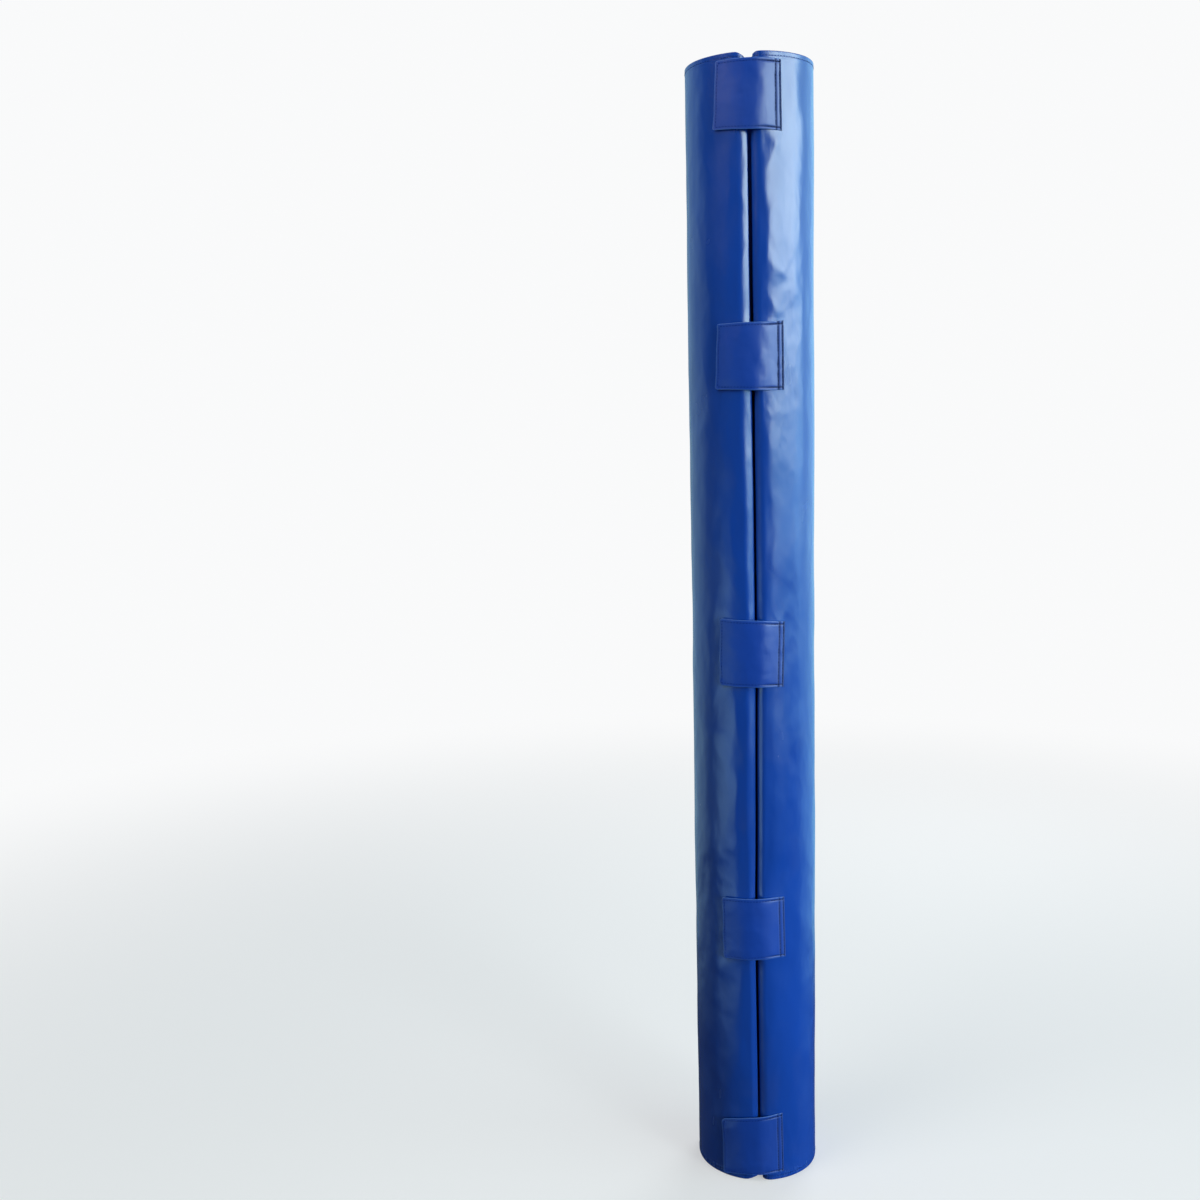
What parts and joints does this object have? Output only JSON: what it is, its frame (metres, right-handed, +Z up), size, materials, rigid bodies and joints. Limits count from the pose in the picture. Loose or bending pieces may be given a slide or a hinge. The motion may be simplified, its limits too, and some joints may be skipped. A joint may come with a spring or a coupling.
{
  "type": "volleyball post pad",
  "caption": "Tall slit foam tube pad in blue vinyl that opens at its back, goes round a net post and closes over its slit with hook-and-loop straps.",
  "frame": {"origin": "on the bore's axis, at the bottom face that the pad stands on", "axes": "+Z up along the bore's axis, -Y towards the slit and its straps, +X to the right of someone who faces the slit"},
  "size_m": [0.1994, 0.203, 1.8],
  "materials": {
    "cover_vinyl": "satin",
    "strap_vinyl": "satin",
    "hook_pile": "matte",
    "loop_pile": "matte",
    "foam": "matte"
  },
  "bodies": {
    "left_half": {"left_foam_core": "foam", "left_outer_cover": "cover_vinyl", "left_bore_lining": "cover_vinyl", "left_top_panel": "cover_vinyl", "left_bottom_panel": "cover_vinyl", "loop_tape_1": "loop_pile", "loop_tape_2": "loop_pile", "loop_tape_3": "loop_pile", "loop_tape_4": "loop_pile", "loop_tape_5": "loop_pile"},
    "right_half": {"right_foam_core": "foam", "right_outer_cover": "cover_vinyl", "right_bore_lining": "cover_vinyl", "right_top_panel": "cover_vinyl", "right_bottom_panel": "cover_vinyl", "strap_1_base": "strap_vinyl", "strap_2_base": "strap_vinyl", "strap_3_base": "strap_vinyl", "strap_4_base": "strap_vinyl", "strap_5_base": "strap_vinyl"},
    "bridge_1": {"strap_1_bridge": "strap_vinyl"},
    "bridge_2": {"strap_2_bridge": "strap_vinyl"},
    "bridge_3": {"strap_3_bridge": "strap_vinyl"},
    "bridge_4": {"strap_4_bridge": "strap_vinyl"},
    "bridge_5": {"strap_5_bridge": "strap_vinyl"},
    "tab_1": {"strap_1_tab": "strap_vinyl", "hook_tape_1": "hook_pile"},
    "tab_2": {"strap_2_tab": "strap_vinyl", "hook_tape_2": "hook_pile"},
    "tab_3": {"strap_3_tab": "strap_vinyl", "hook_tape_3": "hook_pile"},
    "tab_4": {"strap_4_tab": "strap_vinyl", "hook_tape_4": "hook_pile"},
    "tab_5": {"strap_5_tab": "strap_vinyl", "hook_tape_5": "hook_pile"}
  },
  "joints": [
    {"name": "wrap_open", "type": "hinge", "parent": "left_half", "child": "right_half", "pos_m": [0, 0.1, 0.9], "axis": [0, 0, 1], "range_deg": [0, 45], "stiffness_Nm_per_rad": 3},
    {"name": "strap_1_lift", "type": "hinge", "parent": "right_half", "child": "bridge_1", "pos_m": [0.03746, -0.09272, 1.734], "axis": [0, 0, 1], "range_deg": [0, 45]},
    {"name": "strap_2_lift", "type": "hinge", "parent": "right_half", "child": "bridge_2", "pos_m": [0.03746, -0.09272, 1.353], "axis": [0, 0, 1], "range_deg": [0, 45]},
    {"name": "strap_3_lift", "type": "hinge", "parent": "right_half", "child": "bridge_3", "pos_m": [0.03714, -0.09285, 0.89], "axis": [0, 0, 1], "range_deg": [0, 45]},
    {"name": "strap_4_lift", "type": "hinge", "parent": "right_half", "child": "bridge_4", "pos_m": [0.03762, -0.09265, 0.437], "axis": [0, 0, 1], "range_deg": [0, 45]},
    {"name": "strap_5_lift", "type": "hinge", "parent": "right_half", "child": "bridge_5", "pos_m": [0.03057, -0.09521, 0.0615], "axis": [0, 0, 1], "range_deg": [0, 45]},
    {"name": "strap_1_peel", "type": "hinge", "parent": "bridge_1", "child": "tab_1", "pos_m": [0.01077, -0.10244, 1.734], "axis": [0, 0, 1], "range_deg": [0, 110]},
    {"name": "strap_2_peel", "type": "hinge", "parent": "bridge_2", "child": "tab_2", "pos_m": [0.01077, -0.10244, 1.353], "axis": [0, 0, 1], "range_deg": [0, 110]},
    {"name": "strap_3_peel", "type": "hinge", "parent": "bridge_3", "child": "tab_3", "pos_m": [0.01041, -0.10247, 0.89], "axis": [0, 0, 1], "range_deg": [0, 110]},
    {"name": "strap_4_peel", "type": "hinge", "parent": "bridge_4", "child": "tab_4", "pos_m": [0.01094, -0.10242, 0.437], "axis": [0, 0, 1], "range_deg": [0, 110]},
    {"name": "strap_5_peel", "type": "hinge", "parent": "bridge_5", "child": "tab_5", "pos_m": [0.00324, -0.10295, 0.0615], "axis": [0, 0, 1], "range_deg": [0, 110]}
  ],
  "couplings": [
    {"joint": "strap_1_lift", "follows": "wrap_open", "ratio": 1},
    {"joint": "strap_2_lift", "follows": "wrap_open", "ratio": 1},
    {"joint": "strap_3_lift", "follows": "wrap_open", "ratio": 1},
    {"joint": "strap_4_lift", "follows": "wrap_open", "ratio": 1},
    {"joint": "strap_5_lift", "follows": "wrap_open", "ratio": 1}
  ]
}
